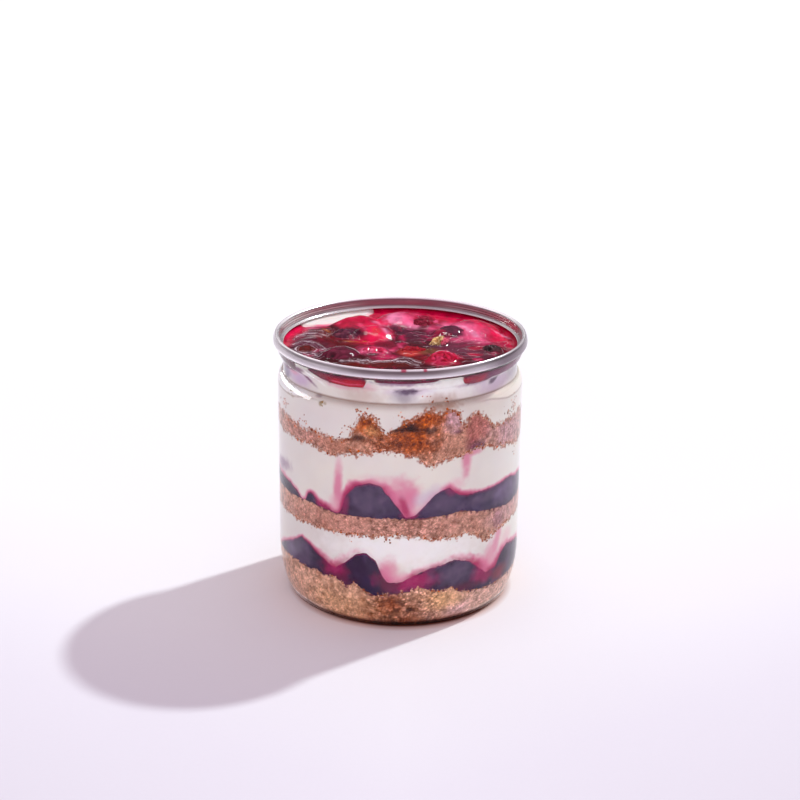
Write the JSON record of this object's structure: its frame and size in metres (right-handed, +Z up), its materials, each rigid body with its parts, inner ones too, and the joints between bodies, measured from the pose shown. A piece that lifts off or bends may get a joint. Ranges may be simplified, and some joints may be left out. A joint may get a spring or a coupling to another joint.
{
  "type": "layered cheesecake cup",
  "caption": "Open clear jar with a seamed metal rim, filled with layers of biscuit crumb, berry compote and cream, and topped with berries in compote.",
  "frame": {"origin": "centre of the jar's foot, on the surface that it stands on", "axes": "+Z up along the jar's axis, the side with the tall compote humps faces -Y, +X to its right"},
  "size_m": [0.0766, 0.0768, 0.0817],
  "materials": {
    "clear_pet": "clear, glossy",
    "rim_metal": "satin, rolled",
    "crumb": "matt, grainy",
    "cream": "satin",
    "compote": "glossy, smooth",
    "compote_gloss": "wet gloss",
    "berry_skin": "wet gloss",
    "red_fruit": "wet gloss",
    "biscuit": "matt, grainy"
  },
  "bodies": {
    "root": {"jar": "clear_pet", "rim_ring": "rim_metal", "crumb_base": "crumb", "compote_lower": "compote", "cream_lower": "cream", "crumb_middle": "crumb", "compote_middle": "compote", "cream_middle": "cream", "crumb_upper": "crumb", "cream_upper": "cream", "compote_top": "compote_gloss", "berry_front_left": "berry_skin", "berry_left": "berry_skin", "berry_right": "berry_skin", "berry_far_right": "berry_skin", "berry_back": "berry_skin", "berry_middle": "berry_skin", "berry_far_left": "berry_skin", "fruit_front": "red_fruit", "fruit_shred": "red_fruit", "fruit_pulp": "red_fruit", "biscuit_piece": "biscuit"}
  },
  "joints": []
}
